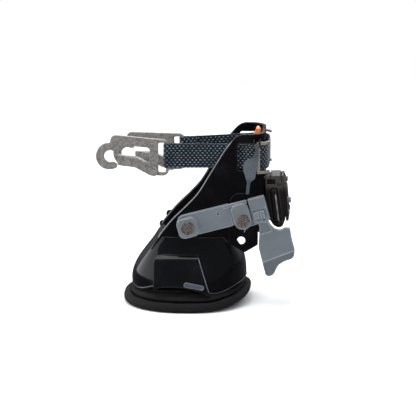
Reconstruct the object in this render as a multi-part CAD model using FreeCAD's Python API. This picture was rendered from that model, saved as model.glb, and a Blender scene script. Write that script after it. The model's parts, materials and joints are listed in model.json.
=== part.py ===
"""Strap-on climbing-spur shell unit: upright U shell, domed lower shell on a foam pad,
webbing strap with two snap hooks, guard lever, rear catch housing.

Millimetres. X to the right (closed back of the shell), Y away, Z up.
The origin is the middle of the whole unit in plan, on the ground under the pad.
Every function returns one named piece; the last section writes them all.
"""
import FreeCAD
import Part
import math
import os

V = FreeCAD.Vector
UP = V(0, 0, 1)
ALONG_X = V(1, 0, 0)
ALONG_Y = V(0, 1, 0)

# ---------------------------------------------------------------- driving sizes
middle_x = 9.687            # drawing X of the finished unit's middle; pieces are written about it
wall = 3.2                  # moulded shell wall
shell_top = 178.5           # rim of the upright shell
back_x = 80.0               # outer face of the closed back
half_foot = 33.2            # half width of the upright shell at its foot
half_rim = 31.0             # half width at the rim
foot_z = 56.0               # height the half_foot width belongs to
corner_r = 16.0             # plan corner of the closed back

web_width = 25.4            # webbing
web_thick = 2.0
web_mid = 155.0             # mid height of the strap
web_y = 26.0                # strap runs, distance from the middle plane
swing_x = 20.0              # where the free strap ends begin to bend

plate = 3.0                 # snap-hook plate
bar_x_near = -19.0          # webbing bar of the near hook
bar_x_far = -5.3            # the far free end is shorter
far_lean = -3.8             # and slopes down a little from lean_x to its hook
lean_x = 56.0
eye_r = 2.45                # webbing eye round the bar

tilt = 15.0                 # slope of the guard arm
screw_front = (2.5, 83.2)   # arm screws, X and Z
screw_rear = (58.7, 91.4)
screw_r = 3.0
head_r = 6.7

pin_y = -8.0                # catch button in the rear housing
pin_z = 106.0
pin_r = 3.0
running = 0.06              # radial clearance of running fits

window_low = web_mid - web_width / 2 - 1.5
window_high = web_mid + web_width / 2 + 1.6


# ---------------------------------------------------------------- small tools
def side(a, b):
    """A point of the XZ plane."""
    return V(a, 0, b)


def plan_at(z):
    """Points of the XY plane at height z."""
    def place(a, b):
        return V(a, b, z)
    return place


def outline(corners, place=side):
    """Closed wire through (a, b, radius) corners, each rounded by its radius."""
    points = [place(c[0], c[1]) for c in corners]
    count = len(points)
    edges = []
    firsts = []
    lasts = []
    middles = []
    for i in range(count):
        here = points[i]
        back = points[i - 1].sub(here)
        ahead = points[(i + 1) % count].sub(here)
        half = 0.5 * back.getAngle(ahead)
        reach = min(back.Length, ahead.Length) * 0.499
        back.normalize()
        ahead.normalize()
        cut = 0.0
        if corners[i][2] > 0 and half < 1.54:
            cut = min(corners[i][2] / math.tan(half), reach)
        firsts.append(here.add(back * cut))
        lasts.append(here.add(ahead * cut))
        if cut > 0:
            radius = cut * math.tan(half)
            inward = back.add(ahead)
            inward.normalize()
            middles.append(here.add(inward * (radius / math.sin(half) - radius)))
        else:
            middles.append(None)
    for i in range(count):
        if middles[i] is not None:
            edges.append(Part.Arc(firsts[i], middles[i], lasts[i]).toShape())
        nxt = firsts[(i + 1) % count]
        if lasts[i].distanceToPoint(nxt) > 1e-4:
            edges.append(Part.makeLine(lasts[i], nxt))
    return Part.Wire(edges)


def slab(corners, y0, y1):
    """A side outline given thickness along Y."""
    face = Part.Face(outline(corners))
    face.translate(V(0, y0, 0))
    return face.extrude(V(0, y1 - y0, 0))


def tile(corners, z0, z1):
    """A plan outline given thickness along Z."""
    face = Part.Face(outline(corners, plan_at(z0)))
    return face.extrude(V(0, 0, z1 - z0))


def box(x0, x1, y0, y1, z0, z1):
    """A block between two opposite corners."""
    return Part.makeBox(x1 - x0, y1 - y0, z1 - z0, V(x0, y0, z0))


def rod(x, y, z, axis, radius, length):
    """A round bar that starts at a point and runs along an axis."""
    return Part.makeCylinder(radius, length, V(x, y, z), axis)


def tube(x, y, z, axis, outer, inner, length):
    """A round sleeve."""
    return rod(x, y, z, axis, outer, length).cut(rod(x, y, z, axis, inner, length))


def mirror(shape):
    """The same piece on the far side of the middle plane."""
    return shape.mirror(V(0, 0, 0), ALONG_Y)


def join(first, *others):
    """One solid from pieces that meet."""
    return first.fuse(list(others)).removeSplitter()


def soften(shape, radius, wanted):
    """Round every edge that the test picks."""
    picked = [e for e in shape.Edges if wanted(e)]
    return shape.makeFillet(radius, picked)


def on_plane_y(*levels):
    """Edge test: the whole edge lies at one of these Y levels."""
    def test(edge):
        bb = edge.BoundBox
        flat = bb.YLength < 1e-4
        return flat and any(abs(bb.YMin - y) < 1e-3 for y in levels)
    return test


def band(path, thick, z0, z1):
    """A strip on edge: a smooth plan path given thickness and height."""
    centre = Part.BSplineCurve()
    centre.interpolate([V(x, y, z0) for x, y in path])
    left = []
    right = []
    steps = 6 * len(path)
    first, last = centre.FirstParameter, centre.LastParameter
    for i in range(steps + 1):
        t = first + (last - first) * i / steps
        here = centre.value(t)
        way = centre.tangent(t)[0]
        across = V(-way.y, way.x, 0) * (thick / 2)
        left.append(here.add(across))
        right.append(here.sub(across))
    near = Part.BSplineCurve()
    near.interpolate(left)
    far = Part.BSplineCurve()
    far.interpolate(right)
    edges = [near.toShape(), Part.makeLine(left[-1], right[-1]),
             far.toShape(), Part.makeLine(right[0], left[0])]
    wire = Part.Wire(Part.__sortEdges__(edges))
    return Part.Face(wire).extrude(V(0, 0, z1 - z0))


def coil(x, y, z, axis, radius, wire, turns, pitch):
    """A wound spring whose axis starts at a point."""
    helix = Part.makeHelix(pitch, turns * pitch, radius)
    ring = Part.makeCircle(wire, V(radius, 0, 0), V(0, 1, pitch / (2 * math.pi * radius)))
    spring = Part.Wire(helix).makePipeShell([Part.Wire(ring)], True, True)
    spring.Placement = FreeCAD.Placement(V(x, y, z), FreeCAD.Rotation(UP, axis))
    return spring


def oval(middle, half_x, half_y, z, power=2.35, count=28, near_power=None):
    """A closed smooth oval, squarer than an ellipse; its near half may be squarer still."""
    points = []
    far_power = power
    for i in range(count):
        turn = 2 * math.pi * i / count
        c, s = math.cos(turn), math.sin(turn)
        power = near_power if near_power and s < 0 else far_power
        px = middle + half_x * math.copysign(abs(c) ** (2 / power), c)
        py = half_y * math.copysign(abs(s) ** (2 / power), s)
        points.append(V(px, py, z))
    curve = Part.BSplineCurve()
    curve.interpolate(Points=points, PeriodicFlag=True)
    return Part.Wire(curve.toShape())


def on_arm(s, t):
    """X and Z of a point given along and across the sloping arm."""
    c, n = math.cos(math.radians(tilt)), math.sin(math.radians(tilt))
    return screw_front[0] + s * c - t * n, screw_front[1] + s * n + t * c


def arm_slab(corners, y0, y1):
    """A slab whose corners are given in arm coordinates."""
    return slab([on_arm(s, t) + (r,) for s, t, r in corners], y0, y1)


# ---------------------------------------------------------------- shells
def shell_half(z):
    """Half width of the upright shell at a height."""
    return half_foot + (half_rim - half_foot) * (z - foot_z) / (shell_top - foot_z)


def upright_solid(inset):
    """The upright shell's filled form, drawn in by an inset."""
    rings = []
    for z in (foot_z, shell_top):
        h = shell_half(z) - inset
        r = corner_r - inset
        corners = [(-60, -h, 0), (back_x - inset, -h, r), (back_x - inset, h, r), (-60, h, 0)]
        rings.append(outline(corners, plan_at(z)))
    return Part.makeLoft(rings, True, True)


def front_cutter():
    """Everything behind the swept front edge of the upright shell."""
    edge = Part.BSplineCurve()
    edge.interpolate([V(-36, -60, 58), V(-24, -60, 76), V(-12.5, -60, 90), V(1.5, -60, 104),
                      V(13, -60, 117), V(24, -60, 135), V(33, -60, 150), V(45, -60, 168.5),
                      V(50.5, -60, 175), V(59, -60, shell_top)])
    corners = [V(59, -60, shell_top), V(95, -60, shell_top), V(95, -60, 77),
               V(46, -60, 76), V(41, -60, 58), V(-36, -60, 58)]
    lines = [Part.makeLine(corners[i], corners[i + 1]) for i in range(5)]
    return Part.Face(Part.Wire([edge.toShape()] + lines)).extrude(V(0, 120, 0))


def dome_solid(inset):
    """The domed lower shell's filled form: ovals that grow squarer towards the top."""
    levels = [(11, 1.0, 54.0, 53.0, 2.3, 2.3), (18, 1.2, 57.6, 55.8, 2.3, 2.3),
              (26, 1.8, 58.6, 56.4, 2.3, 2.4), (36, 3.0, 57.0, 54.0, 2.35, 2.6),
              (46, 5.0, 53.0, 49.2, 2.5, 3.1), (56, 6.0, 46.4, 43.0, 2.8, 4.2),
              (65, 6.8, 40.2, 37.4, 3.2, 5.6), (71.5, 7.0, 35.6, 35.2, 3.6, 6.5)]
    rings = [oval(m, a - inset, b - inset, z - inset * 0.8, far, 28, near)
             for z, m, a, b, far, near in levels]
    return Part.makeLoft(rings, True, False)


def lip_cutter():
    """Everything above the waved lower lip of the domed shell."""
    wave = Part.BSplineCurve()
    wave.interpolate([V(-70, -80, 21), V(-56, -80, 17.5), V(-46, -80, 17.5), V(-34, -80, 22),
                      V(-20, -80, 24.6), V(-6, -80, 24.6), V(8, -80, 22.4), V(20, -80, 18.4),
                      V(30, -80, 16), V(40, -80, 17.6), V(52, -80, 22.5), V(70, -80, 27)])
    lines = [Part.makeLine(V(70, -80, 27), V(70, -80, 120)),
             Part.makeLine(V(70, -80, 120), V(-70, -80, 120)),
             Part.makeLine(V(-70, -80, 120), V(-70, -80, 21))]
    return Part.Face(Part.Wire([wave.toShape()] + lines)).extrude(V(0, 160, 0))


def upper_shell():
    shape = upright_solid(0).cut(upright_solid(wall))
    shape = shape.common(front_cutter())
    shape = shape.cut(dome_solid(0))
    window = slab([(52.6, window_low, 2), (73.4, window_low, 2),
                   (73.4, window_high, 2), (52.6, window_high, 2)], -40, 40)
    shape = shape.cut(window)
    for x, z in (screw_front, screw_rear):
        shape = shape.cut(rod(x, -50, z, ALONG_Y, screw_r + 0.2, 30))
    for x, z in ((12.0, 84.0), (58.7, 91.4)):
        shape = shape.cut(rod(x, 20, z, ALONG_Y, 2.2, 30))
    for z in (94.0, 124.0):
        shape = shape.cut(rod(70, 6.0, z, ALONG_X, 2.2, 15))
    return shape


def lower_shell():
    shape = dome_solid(0).cut(dome_solid(wall))
    return shape.common(lip_cutter())


def side_block(near):
    """Flat-faced moulded block low on the flank of the domed shell."""
    raw = slab([(-31.8, 10, 0), (28.6, 10, 0), (12.4, 58, 7), (-31.8, 58, 11)], -70, -8)
    foot, brow, top = V(0, -59.5, 24), V(0, -53.4, 44.5), V(0, -42, 55.5)
    shoulder = Part.Arc(brow, V(0, -49.6, 51.8), top).toShape()
    rest = Part.makePolygon([top, V(0, -8, 55.5), V(0, -8, 10), V(0, -60.5, 10), foot, brow])
    section = Part.Face(Part.Wire([shoulder] + rest.Edges))
    section.translate(V(-80, 0, 0))
    raw = raw.common(section.extrude(V(160, 0, 0)))
    raw = raw.common(lip_cutter()).cut(dome_solid(0))
    solid = max(raw.Solids, key=lambda part: part.Volume)
    return solid if near else mirror(solid)


def size_tag():
    """Small plain tab on the lower edge of the near block."""
    tag = slab([(-4, -2.6, 2.4), (17, -2.6, 2.4), (17, 2.6, 2.4), (-4, 2.6, 2.4)], -1.6, 0)
    tag.rotate(V(0, 0, 0), ALONG_Y, 10)
    tag.rotate(V(0, 0, 0), ALONG_X, -16)
    tag.translate(V(3.2, -58.75, 26.8))
    return tag.cut(side_block(True))


# ---------------------------------------------------------------- pad
def pad_sweep(low, high):
    """Side form of the pad: level, then rising under the closed back."""
    rise = 10.0
    start = V(18, -90, low)
    ends = [V(45, -90, low + rise * 0.29), V(74, -90, low + rise * 1.35)]
    lower = Part.Arc(start, ends[0], ends[1]).toShape()
    lift = V(0, 0, high - low)
    upper = Part.Arc(start.add(lift), ends[0].add(lift), ends[1].add(lift)).toShape()
    edges = [Part.makeLine(V(-80, -90, low), start), lower,
             Part.makeLine(ends[1], ends[1].add(lift)), upper,
             Part.makeLine(start.add(lift), V(-80, -90, high)),
             Part.makeLine(V(-80, -90, high), V(-80, -90, low))]
    wire = Part.Wire(Part.__sortEdges__(edges))
    return Part.Face(wire).extrude(V(0, 180, 0))


def foam_pad():
    body = Part.Face(oval(0, 65.5, 71.5, -5, 2.3)).extrude(V(0, 0, 60))
    return body.common(pad_sweep(0, 9.0))


def inner_cushion():
    body = Part.Face(oval(0.5, 58.5, 63.0, 0, 2.3)).extrude(V(0, 0, 60))
    body = body.common(pad_sweep(9.3, 14.6))
    return body


def backing_plate():
    plate_form = Part.Face(oval(-11, 38, 44, 15.0)).extrude(V(0, 0, 2.4))
    for x, y in post_places():
        plate_form = plate_form.cut(rod(x, y, 10, UP, 1.7, 10))
    return plate_form


def post_places():
    """The four posts that tie the backing plate to the domed shell."""
    return [(-24, -18), (-24, 18), (20, -18), (20, 18)]


def backing_posts():
    posts = []
    for x, y in post_places():
        post = rod(x, y, 17.4, UP, 4.0, 60).common(dome_solid(wall))
        posts.append(post.cut(rod(x, y, 17.0, UP, 1.3, 12)))
    return Part.makeCompound(posts)


def post_screws():
    screws = []
    for x, y in post_places():
        shank = rod(x, y, 15.0, UP, 1.25, 12)
        screws.append(join(shank, rod(x, y, 14.7, UP, 1.6, 1.0)))
    return Part.makeCompound(screws)


# ---------------------------------------------------------------- guard arm
def arm_link():
    """Fixed link: long bar, front boss and the hood over the lever's pivot."""
    bar = arm_slab([(-9.8, -9.6, 6), (45.4, -9.6, 1), (45.4, 13.4, 0.5), (-9.8, 13.4, 8)],
                   -41.5, -36.2)
    front = arm_slab([(-10.4, -10.2, 6), (10.0, -10.2, 5.5), (10.0, 10.2, 5.5), (-10.4, 10.2, 5.5)],
                     -44.6, -36.2)
    hood = arm_slab([(47.2, -15.7, 8.9), (65.2, -15.7, 8.9), (65.2, 11.2, 6), (47.2, 11.2, 6)],
                    -44.6, -39.4)
    top_rail = arm_slab([(40, 9.8, 0), (65.0, 9.8, 0.8), (65.0, 13.4, 0.8), (40, 13.4, 0)],
                        -42.4, -39.4)
    neck = arm_slab([(40, -9.0, 0), (50, -9.0, 0), (50, 9.0, 0), (40, 9.0, 0)], -41.0, -39.4)
    front = soften(front, 0.9, on_plane_y(-44.6))
    hood = soften(hood, 0.9, on_plane_y(-44.6))
    shape = join(bar, front, hood, top_rail, neck)
    cx, cz = screw_rear
    shape = shape.cut(rod(cx, -41.6, cz, ALONG_Y, 8.0, 3))
    shape = shape.cut(arm_slab([(54, -20, 0), (60, -20, 0), (60, -12, 0), (54, -12, 0)], -41.6, -38))
    for x, z in (screw_front, screw_rear):
        shape = shape.cut(rod(x, -46, z, ALONG_Y, head_r + 0.35, 3.0))
        shape = shape.cut(rod(x, -46, z, ALONG_Y, screw_r + 0.2, 20))
    hole_x, hole_z = on_arm(33.5, 5.9)
    return shape.cut(rod(hole_x, -43, hole_z, ALONG_Y, 1.0, 8))


def guard_lever():
    """Sprung lever: hub behind the hood, neck, and the broad guard paddle."""
    cx, cz = screw_rear
    hub = rod(cx, -38.9, cz, ALONG_Y, 9.5, 2.3)
    web = arm_slab([(56, -15.5, 0), (72, -14.5, 0), (72, 2.0, 0), (58, 2.0, 0)], -38.9, -36.6)
    web = web.common(rod(cx, -38.9, cz, ALONG_Y, 22, 2.3))
    panel = arm_slab([(66.4, -13.0, 3), (83.5, -13.0, 0), (83.5, 13.4, 1.5), (66.4, 13.4, 0.6)],
                     -42.4, -36.6)
    panel = panel.cut(rod(cx, -50, cz, ALONG_Y, 10.2, 20))
    paddle = slab([(84.6, 101, 8), (84.0, 93, 8), (86.4, 87.4, 8), (91, 82.6, 8), (97, 81.6, 6),
                   (100.8, 84.2, 2.5), (106.4, 84.2, 1.8), (108.2, 73, 20), (111.6, 60.5, 7),
                   (110.6, 52.6, 6), (101.5, 49.4, 8), (94.6, 45.2, 10), (89.6, 34.2, 7),
                   (82.2, 32.8, 5), (78.4, 48, 20), (74.6, 63, 20), (75.4, 84, 12),
                   (74.2, 91, 5), (71, 93, 2), (74, 101, 2)], -42.4, -38.2)
    shape = join(hub, web, panel, paddle)
    shape = soften(shape, 0.8, on_plane_y(-42.4))
    shape = shape.cut(rod(cx, -50, cz, ALONG_Y, 5.0 + running, 20))
    shape = shape.cut(arm_slab([(60, -12, 0), (82.0, -9.6, 0), (82.0, 0.8, 0), (60, 0.8, 0)],
                               -43, -41.5))
    shape = shape.cut(slab([(70, 74.7, 0), (88.4, 80.9, 0), (84, 90, 0), (70, 90, 0)], -43, -41.3))
    bend = box(60, 125, -48, -42.4, 10, 53.85)
    bend.rotate(V(94.3, -42.4, 53.85), ALONG_X, -9.0)
    bend.rotate(V(94.3, -42.4, 53.85), ALONG_Y, -21.8)
    shape = shape.cut(bend)
    shape = shape.cut(arm_slab([(67.2, -9.2, 0), (80.2, -9.2, 0), (80.2, -0.4, 0), (67.2, -0.4, 0)],
                               -43, -38.9))
    hole_x, hole_z = on_arm(77.4, -11.4)
    shape = shape.cut(rod(hole_x, -43, hole_z, ALONG_Y, 0.9, 8))
    return shape


def lock_slider():
    """Ribbed thumb slide that sits in the lever's window."""
    body = arm_slab([(71.0, -8.8, 0.6), (79.8, -8.8, 0.6), (79.8, -0.8, 0.6), (71.0, -0.8, 0.6)],
                    -42.9, -39.3)
    for s0, s1 in ((68.0, 74.0), (75.3, 76.9), (78.1, 79.6)):
        rib = arm_slab([(s0, -8.6, 0.5), (s1, -8.6, 0.5), (s1, -1.0, 0.5), (s0, -1.0, 0.5)],
                       -44.6, -42.8)
        body = join(body, rib)
    x, z = on_arm(70.5, -4.8)
    way = V(math.cos(math.radians(tilt)), 0, math.sin(math.radians(tilt)))
    return body.cut(Part.makeCylinder(1.45, 4.0, V(x, -41.0, z), way))


def arm_screws():
    """Two coin-slot screws; the slots stand at different angles."""
    screws = []
    for (x, z), turn in ((screw_front, 50.0), (screw_rear, -24.0)):
        head = soften(rod(x, -45.6, z, ALONG_Y, head_r, 2.4), 0.5, on_plane_y(-45.6))
        screw = join(head, rod(x, -43.4, z, ALONG_Y, screw_r, 18.0))
        slot = box(-head_r - 1, head_r + 1, -46, -44.4, -0.8, 0.8)
        slot.rotate(V(0, 0, 0), ALONG_Y, turn)
        slot.translate(V(x, 0, z))
        screws.append(screw.cut(slot))
    return Part.makeCompound(screws)


def pivot_bushing():
    x, z = screw_rear
    return tube(x, -41.4, z, ALONG_Y, 5.0, screw_r + 0.1, 5.3)


def front_spacer():
    x, z = screw_front
    return tube(x, -36.1, z, ALONG_Y, 7.0, screw_r + 0.2, 3.2)


def screw_nuts():
    nuts = []
    for x, z in (screw_front, screw_rear):
        corners = []
        for i in range(6):
            turn = math.radians(60 * i)
            corners.append((x + 6.2 * math.cos(turn), z + 6.2 * math.sin(turn), 0.6))
        nut = slab(corners, -29.2, -25.6)
        nuts.append(nut.cut(rod(x, -30, z, ALONG_Y, screw_r + 0.05, 6)))
    return Part.makeCompound(nuts)


def lever_spring():
    """Torsion spring in the hood; its tail leaves at a tangent and shows below the boss."""
    x, z = screw_rear
    wire = 0.42
    points = []
    for i in range(20):
        turn = math.radians(200 - 32 * i)
        points.append(V(x + 7.0 * math.cos(turn), -39.6 - 0.05 * i, z + 7.0 * math.sin(turn)))
    last = points[-1]
    way = points[-1].sub(points[-2])
    way.normalize()
    points.append(last.add(way * 3.6).add(V(0, 0, -0.6)))
    points.append(last.add(way * 6.4).add(V(0, 0, -1.8)))
    path = Part.BSplineCurve()
    path.interpolate(points)
    start = path.tangent(path.FirstParameter)[0]
    ring = Part.Wire(Part.makeCircle(wire, points[0], start))
    return Part.Wire(path.toShape()).makePipeShell([ring], True, True)


def slider_spring():
    """Small return spring behind the slide, inside the window's end."""
    way = V(math.cos(math.radians(tilt)), 0, math.sin(math.radians(tilt)))
    start = on_arm(68.2, -4.8)
    return coil(start[0], -41.0, start[1], way, 1.0, 0.22, 4, 0.8)


def flange_plate(near):
    """Plate between arm and wall, with the round through hole below."""
    plate_form = slab([(44, 66, 2), (59.7, 56.2, 3), (73.6, 64.6, 2), (74, 104, 3),
                       (70, 118.6, 12), (46, 118.6, 12), (44, 100, 6)], -35.9, -33.2)
    plate_form = plate_form.cut(rod(56.6, -40, 68.9, ALONG_Y, 4.1, 10))
    x, z = screw_rear
    plate_form = plate_form.cut(rod(x, -40, z, ALONG_Y, screw_r + 0.2, 10))
    plate_form = soften(plate_form, 0.6, on_plane_y(-35.9))
    return plate_form if near else mirror(plate_form)


# ---------------------------------------------------------------- far side
def far_bracket():
    """Plain bracket on the far wall, its forked tip reaching past the front edge."""
    bar = slab([(-18, 69, 4), (20, 75, 3), (62, 86, 8), (66, 97, 8), (56, 104, 8), (8, 92, 4),
                (-12, 84, 4)], 33.4, 36.6)
    upper = slab([(-10, 77, 0.5), (-10, 83.6, 0.5), (-24, 83.6, 3.2), (-24, 77, 3.2)], 33.4, 37.4)
    lower = slab([(-10, 66.6, 0.5), (-10, 72.6, 0.5), (-31, 72.6, 2.9), (-31, 66.6, 2.9)], 33.4, 37.4)
    bar = bar.cut(slab([(70, 60, 0), (70, 120, 0), (43.6, 120, 0), (43.6, 60, 0)], 33, 36.1))
    shape = join(bar, upper, lower).cut(dome_solid(0))
    for x, z in ((12.0, 84.0), (58.7, 91.4)):
        shape = shape.cut(rod(x, 30, z, ALONG_Y, 2.2, 10))
    return shape


def far_screws():
    screws = []
    for (x, z), head_y in (((12.0, 84.0), 36.7), ((58.7, 91.4), 36.7)):
        screws.append(join(rod(x, 26.0, z, ALONG_Y, 2.0, head_y - 26.0),
                           rod(x, head_y, z, ALONG_Y, 4.2, 1.8),
                           rod(x, 25.8, z, ALONG_Y, 4.2, 2.6)))
    return Part.makeCompound(screws)


# ---------------------------------------------------------------- rear housing
def housing_body():
    """Catch housing on the closed back, round-bottomed, leaning out at its foot."""
    shape = slab([(80.2, 130.0, 0.8), (84.8, 130.4, 0.3), (85.2, 133.0, 0.8), (95.4, 133.6, 1.5),
                  (98.2, 122, 4), (100.2, 104, 4), (101.0, 88, 6), (97.6, 78.4, 7),
                  (89.4, 80.2, 8), (83.2, 90, 8), (80.2, 106, 6)], -19, 19)
    shape = soften(shape, 1.2, on_plane_y(-19, 19))
    shape = shape.cut(slab([(84.0, 120.6, 4.4), (93.2, 120.6, 4.4), (98.3, 85.4, 4.6),
                            (88.6, 83.2, 5.2)], -20, -14.6))
    shape = shape.cut(box(82.0, 90.6, -20, -11, 124.6, 129.4))
    shape = shape.cut(box(92.6, 96.6, -20, -17, 123.0, 125.4))
    shape = shape.cut(far_slope())
    shape = shape.cut(rod(88.5, pin_y, pin_z, ALONG_X, pin_r + running, 20))
    for z in (94.0, 124.0):
        shape = shape.cut(rod(78, 6.0, z, ALONG_X, 1.9, 12))
    for y, z in cover_places():
        shape = shape.cut(rod(90, y, z, ALONG_X, 1.25, 12))
    return shape


def far_slope():
    """The far top corner of the housing slopes away."""
    corners = [V(75, 5, 136), V(75, 22, 136), V(75, 22, 121), V(75, 5, 136)]
    return Part.Face(Part.makePolygon(corners)).extrude(V(35, 0, 0))


def cover_places():
    """Screws of the housing's outer cover."""
    return [(-12, 124.0), (12, 124.0), (-12, 94.0), (12, 94.0)]


def housing_cover():
    """Thin outer plate of the housing."""
    shape = slab([(96.2, 133.2, 0.8), (98.6, 132.6, 1.0), (101.4, 122, 6), (103.2, 104, 6),
                  (104.4, 86.4, 1.2), (101.6, 85.2, 0.8), (101.2, 92, 4), (100.5, 104, 6),
                  (98.5, 122, 6)], -16.5, 16.5)
    shape = shape.cut(housing_body()).cut(far_slope())
    shape = shape.cut(rod(90, pin_y, pin_z, ALONG_X, pin_r + 0.4, 20))
    for y, z in cover_places():
        shape = shape.cut(rod(90, y, z, ALONG_X, 1.5, 20))
    return shape


def housing_tube():
    """Long round-ended insert lying in the near face of the housing."""
    shape = slab([(85.4, 119.4, 3.4), (92.2, 119.4, 3.4), (97.0, 86.2, 3.6), (89.4, 84.8, 4.2)],
                 -21.4, -14.9)
    return soften(shape, 1.6, on_plane_y(-21.4))


def latch_bar():
    """Steel bar lying in the slot of the housing."""
    return box(82.6, 89.8, -16.4, -11.3, 125.4, 127.4)


def cover_screws():
    screws = []
    for y, z in cover_places():
        skin = 103.6 if z < 110 else 101.1
        screws.append(join(rod(92, y, z, ALONG_X, 1.2, skin - 92), rod(skin, y, z, ALONG_X, 2.6, 1.2)))
    group = Part.makeCompound(screws)
    return group.cut(housing_cover()).cut(housing_body())


def catch_pin():
    """Spring catch button standing out of the rear cover."""
    shank = rod(92.0, pin_y, pin_z, ALONG_X, pin_r, 14.4)
    shank = soften(shank, 0.7, lambda e: e.BoundBox.XMin > 106.3)
    return shank.cut(rod(91.0, pin_y, pin_z, ALONG_X, 2.3, 9.0))


def catch_spring():
    return coil(89.0, pin_y, pin_z, ALONG_X, 1.7, 0.3, 6, 1.3)


def housing_bolts():
    bolts = []
    for z in (94.0, 124.0):
        bolts.append(join(rod(74.6, 6.0, z, ALONG_X, 4.0, 2.1), rod(76.0, 6.0, z, ALONG_X, 1.8, 11.8)))
    return Part.makeCompound(bolts)


# ---------------------------------------------------------------- strap
def strap_saddle():
    """Webbing along both inner walls, out of the windows and round the back."""
    near = [(swing_x, -web_y), (34, -web_y - 0.1), (48, -web_y - 0.3), (58, -27.6), (65, -30.4),
            (71, -32.4), (77.2, -30.6), (81.8, -25.0), (83.4, -17), (83.6, -8)]
    far = [(x, -y) for x, y in reversed(near)]
    low, high = web_mid - web_width / 2, web_mid + web_width / 2
    shape = band(near + far[:-3], web_thick, low, high)
    shape = join(shape, lean(band(far[-4:], web_thick, low, high)))
    shape = shape.cut(rod(swing_x, -web_y, 120, UP, web_thick / 2 + 0.35, 60))
    return shape.cut(lean(rod(swing_x, web_y, 120, UP, web_thick / 2 + 0.35, 60)))


def strap_end(near):
    """Free end: one layer, then a sewn double layer and the eye round the hook's bar."""
    bar = bar_x_near if near else bar_x_far
    y = -web_y if near else web_y
    z0 = web_mid - web_width / 2
    run = box(bar + 3, swing_x, y - web_thick / 2, y + web_thick / 2, z0, z0 + web_width)
    root = rod(swing_x, y, z0, UP, web_thick / 2, web_width)
    eye = rod(bar, y, z0, UP, eye_r + 1.5, web_width)
    wedge = tile([(bar, y - eye_r - 1.5, 0), (bar + 16, y - 2.0, 0.5), (bar + 16, y + 2.0, 0.5),
                  (bar, y + eye_r + 1.5, 0)], z0, z0 + web_width)
    shape = join(run, root, eye, wedge)
    shape = shape.cut(rod(bar, y, z0 - 1, UP, eye_r, web_width + 2))
    return shape if near else lean(shape)


def lean(shape):
    """Turn a piece of the far free run down towards its hook."""
    shape.rotate(V(lean_x, web_y, web_mid), ALONG_Y, far_lean)
    return shape


def keeper(near):
    """Steel keeper over the strap at the back corner of the shell."""
    path = [(72.4, -35.2), (78.0, -33.6), (82.2, -30.0), (84.4, -26.0)]
    low, high = web_mid - web_width / 2 - 3.6, web_mid + web_width / 2 + 3.6
    strip = band(path, 1.8, low, high)
    hole = band([(75.4, -34.8), (79.5, -32.8), (84.2, -27.0), (86.4, -20)], 6.0,
                low + 2.6, high - 2.6)
    frame = strip.cut(hole)
    return frame if near else mirror(frame)


def keeper_pins():
    """Pins that tie each keeper to the shell above and below the strap."""
    pins = []
    low, high = web_mid - web_width / 2 - 2.3, web_mid + web_width / 2 + 2.3
    for flip in (-1, 1):
        for z in (low, high):
            way = V(1, flip * 1.0, 0)
            way.normalize()
            start = V(75.2, flip * 26.5, z)
            pins.append(Part.makeCylinder(1.0, 9.5, start, way))
    group = Part.makeCompound(pins)
    return group.cut(upper_shell()).cut(keeper(True)).cut(keeper(False))


# ---------------------------------------------------------------- snap hooks
def hook_plate(bar, y, drop):
    """Stamped snap hook: nose, long body, webbing slot. bar is the webbing bar's X."""
    d = bar - bar_x_near
    z = -drop
    y0, y1 = y - plate / 2, y + plate / 2
    body = slab([(-76.6 + d, 176.0 + z, 6), (-17.4 + d, 170.8 + z, 6), (-17.4 + d, 133.6 + z, 6.5),
                 (-37.2 + d, 134.2 + z, 2), (-37.2 + d, 162.6 + z, 3.5), (-67.2 + d, 165.4 + z, 3.5),
                 (-71.5 + d, 159.4 + z, 3), (-79, 159.4 + z, 3) if d == 0 else (-79 + d, 159.4 + z, 3)],
                y0, y1)
    nose = rod(-78.2 + d, y0, 153.6 + z, ALONG_Y, 13.9, plate)
    mouth = slab([(-79.0 + d, 158.6 + z, 0.5), (-60 + d, 158.6 + z, 0), (-60 + d, 146.4 + z, 0),
                  (-71.6 + d, 146.4 + z, 0.8), (-73.4 + d, 147.8 + z, 0.6), (-79.0 + d, 147.8 + z, 0)],
                 y0 - 1, y1 + 1)
    nose = nose.cut(mouth)
    throat = slab([(-70.2 + d, 120 + z, 0), (-50 + d, 120 + z, 0), (-50 + d, 165.0 + z, 0),
                   (-67.6 + d, 165.0 + z, 0), (-70.2 + d, 161.2 + z, 0)], y0 - 1, y1 + 1)
    nose = nose.cut(throat)
    shape = join(body, nose)
    shape = shape.cut(rod(-77.4 + d, y0 - 1, 153.6 + z, ALONG_Y, 6.1, plate + 2))
    slot = slab([(-28.2 + d, 168.0 + z, 1.4), (-20.6 + d, 168.0 + z, 1.4), (-20.6 + d, 137.6 + z, 1.4),
                 (-28.2 + d, 137.6 + z, 1.4)], y0 - 1, y1 + 1)
    shape = shape.cut(slot)
    shape = soften(shape, 0.5, on_plane_y(y0, y1))
    return shape.cut(rod(-32.8 + d, y0 - 1, 137.8 + z, ALONG_Y, 1.7, plate + 2))


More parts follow.
